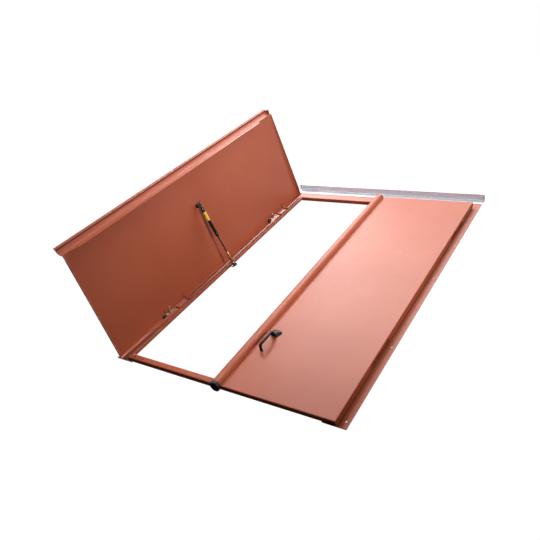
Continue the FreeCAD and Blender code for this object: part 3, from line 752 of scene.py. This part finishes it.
def lap_painted_shade():
    """Painted shade: a dark strip in the lap's hollow, below the flange, between two angles of the lap's
    arc, where the hollow's shadow falls.
    """
    low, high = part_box("left_lap_strip")
    angles = [blended(SHADE_LINE_START, SHADE_LINE_END, step / SHADE_LINE_STEPS) for step in range(SHADE_LINE_STEPS + 1)]
    turns = [math.radians(angle) for angle in angles]
    mesh = bmesh.new()
    rings = []
    for place in (low[1] + SHADE_LINE_MARGIN * MM, high[1] - SHADE_LINE_MARGIN * MM):
        section = [lap_point(LAP_RADIUS + SHADE_LINE_SINK, turn, place) for turn in turns]
        section += [lap_point(LAP_RADIUS - SHADE_LINE_THICK, turn, place) for turn in reversed(turns)]
        rings.append([mesh.verts.new(point) for point in section])
    bridge(mesh, *rings)
    mesh.faces.new(rings[0])
    mesh.faces.new(list(reversed(rings[1])))
    piece("left_lap_painted_shade", mesh, BODY_OF["left_lap_strip"], PAINTED_SHADE_LINE)


def tapered_leaf():
    """Open leaf whose lip at the wall end grows shallower toward the meeting edge."""
    node_name = "left_leaf_panel"
    wall_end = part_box(node_name)[1][1]
    lip_start = wall_end - WALL_LIP_ZONE
    mesh = bmesh.new()
    mesh.from_mesh(NODES[node_name].data)
    bmesh.ops.remove_doubles(mesh, verts=mesh.verts, dist=WELD)
    start = leaf_point(*TAPER_START, wall_end)
    at_wall = [face for face in mesh.faces if all(vertex.co[1] > lip_start for vertex in face.verts)]
    lip = [face for face in at_wall if any(vertex.co[2] > start[2] for vertex in face.verts)]
    edges = {edge for face in lip for edge in face.edges}
    corners = {vertex for face in lip for vertex in face.verts}
    cut = Y.cross(leaf_point(*TAPER_END, wall_end) - start)
    bmesh.ops.bisect_plane(
        mesh, geom=[*lip, *edges, *corners], plane_co=start, plane_no=cut, clear_outer=True)
    bmesh.ops.holes_fill(mesh, edges=[edge for edge in mesh.edges if edge.is_boundary], sides=0)
    stand_in(node_name, mesh)


lap_end()
lap_flange()
lap_painted_shade()
tapered_leaf()

# Ridge flange

RIDGE_FLANGE_WIDTH = 9 * MM
RIDGE_FLANGE_THICK = 1.6 * MM
RIDGE_FLANGE_ROUND = 0.5 * MM
RIDGE_FLANGE_TUCK = 1 * MM


def ridge_flange():
    """Thin folded flange of the ridge strip, lying on the closed leaf's skin."""
    low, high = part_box("meeting_ridge")
    across = high[0] + RIDGE_FLANGE_WIDTH / 2 - RIDGE_FLANGE_TUCK
    up = low[2] + RIDGE_FLANGE_THICK / 2
    run = [Vector((across, along, up)) for along in (low[1], high[1])]
    section = rounded_rectangle(RIDGE_FLANGE_WIDTH, RIDGE_FLANGE_THICK, RIDGE_FLANGE_ROUND)
    mesh = bmesh.new()
    sweep(mesh, run, X, [section] * len(run))
    finished_piece("meeting_ridge_flange", mesh, BODY_OF["meeting_ridge"], "primer_paint")


ridge_flange()

# Stage, light and camera

WHITE = (1, 1, 1, 1)
FLOOR_REACH = 60.0
FLOOR_LEVEL = -0.002
FLOOR_GREY = (0.06, 0.06, 0.06, 1)
SKY_LIGHT = 0.02
SKY_SEEN = 1.0


def floor():
    """Pale floor under and far behind the door."""
    corners = [(across * FLOOR_REACH, along * FLOOR_REACH, FLOOR_LEVEL)
               for across, along in ((-1, -1), (1, -1), (1, 1), (-1, 1))]
    mesh = bpy.data.meshes.new("floor")
    mesh.from_pydata(corners, [], [(0, 1, 2, 3)])
    plane = bpy.data.objects.new("floor", mesh)
    bpy.context.scene.collection.objects.link(plane)
    material, _, shader = new_material("pale_floor")
    shader.inputs["Base Color"].default_value = FLOOR_GREY
    shader.inputs["Roughness"].default_value = 0.9
    shader.inputs["Specular IOR Level"].default_value = 0.0
    shader.inputs["Emission Color"].default_value = WHITE
    shader.inputs["Emission Strength"].default_value = 1.0
    mesh.materials.append(material)
    plane.visible_diffuse = False
    plane.visible_glossy = False


def world():
    """White beyond the floor, and a weak even light from all round."""
    sky = bpy.data.worlds.new("studio")
    bpy.context.scene.world = sky
    sky.use_nodes = True
    tree = sky.node_tree
    background = tree.nodes["Background"]
    path = tree.nodes.new("ShaderNodeLightPath")
    amount = tree.nodes.new("ShaderNodeMapRange")
    amount.inputs["To Min"].default_value = SKY_LIGHT
    amount.inputs["To Max"].default_value = SKY_SEEN
    tree.links.new(path.outputs["Is Camera Ray"], amount.inputs["Value"])
    tree.links.new(amount.outputs["Result"], background.inputs["Strength"])
    background.inputs["Color"].default_value = WHITE


# Lights: name, azimuth and elevation in degrees, side in metres, power in watts, target, beam in degrees

LIGHT_DISTANCE = 4.5
OPEN_LEAF = (-0.7, 0.4, 0.5)
FAR_CORNER = (-0.72, 0.65, 0.6)
SHUT_LEAF = (0.35, 0.7, 0)
MIDDLE = (0, 0, 0.1)
FOOT = (-0.33, -0.86, 0.03)
LIGHTS = (
    ("overhead_key", 270, 67, 0.6, 16, SHUT_LEAF, 70),
    ("leaf_lamp", 77, 28, 0.15, 13.5, FAR_CORNER, 50),
    ("back_left_panel", 215, 30, 2.2, 39, SHUT_LEAF, 80),
    ("back_panel", 180, 38, 2.2, 35, SHUT_LEAF, 100),
    ("low_side_panel", 150, 4, 3.2, 15, OPEN_LEAF, 100),
    ("top_panel", 40, 75, 2.6, 12, MIDDLE, 180),
    ("outside_fill", 280, 14, 2.2, 22, OPEN_LEAF, 80),
    ("foot_lamp", 180, 50, 0.6, 0.9, FOOT, 14),
)


def panel_light(name, azimuth, elevation, side, power, target, beam):
    """Square soft light at an azimuth and elevation, turned to a target."""
    light = bpy.data.lights.new(name, "AREA")
    light.shape = "SQUARE"
    light.size = side
    light.energy = power
    light.spread = math.radians(beam)
    turn = math.radians(azimuth)
    rise = math.radians(elevation)
    toward = Vector((math.sin(turn) * math.cos(rise), -math.cos(turn) * math.cos(rise), math.sin(rise)))
    lamp = bpy.data.objects.new(name, light)
    lamp.location = LIGHT_DISTANCE * toward
    lamp.rotation_euler = (Vector(target) - lamp.location).to_track_quat("-Z", "Y").to_euler()
    lamp.visible_camera = False
    bpy.context.scene.collection.objects.link(lamp)


CAMERA_PLACE = Vector((1.52761, -2.08996, 1.68892))
CAMERA_LOOK = Vector((-0.55118, 0.65891, -0.51189))
CAMERA_RIGHT = Vector((0.82439, 0.52473, -0.21223))
FOCAL_PIXELS = 565.97
PICTURE_PIXELS = 540
SENSOR_WIDTH = 36.0
VIEW_END = 200.0


def camera():
    """Camera at the photograph's place, with its roll."""
    lens = bpy.data.cameras.new("camera")
    lens.sensor_width = SENSOR_WIDTH
    lens.lens = SENSOR_WIDTH * FOCAL_PIXELS / PICTURE_PIXELS
    lens.clip_end = VIEW_END
    look = CAMERA_LOOK.normalized()
    right = (CAMERA_RIGHT - CAMERA_RIGHT.dot(look) * look).normalized()
    up = right.cross(look)
    turn = Matrix((right, up, -look)).transposed()
    eye = bpy.data.objects.new("camera", lens)
    eye.matrix_world = Matrix.Translation(CAMERA_PLACE) @ turn.to_4x4()
    bpy.context.scene.collection.objects.link(eye)
    bpy.context.scene.camera = eye


floor()
world()
for light_row in LIGHTS:
    panel_light(*light_row)
camera()
bpy.context.scene.view_settings.view_transform = "Standard"
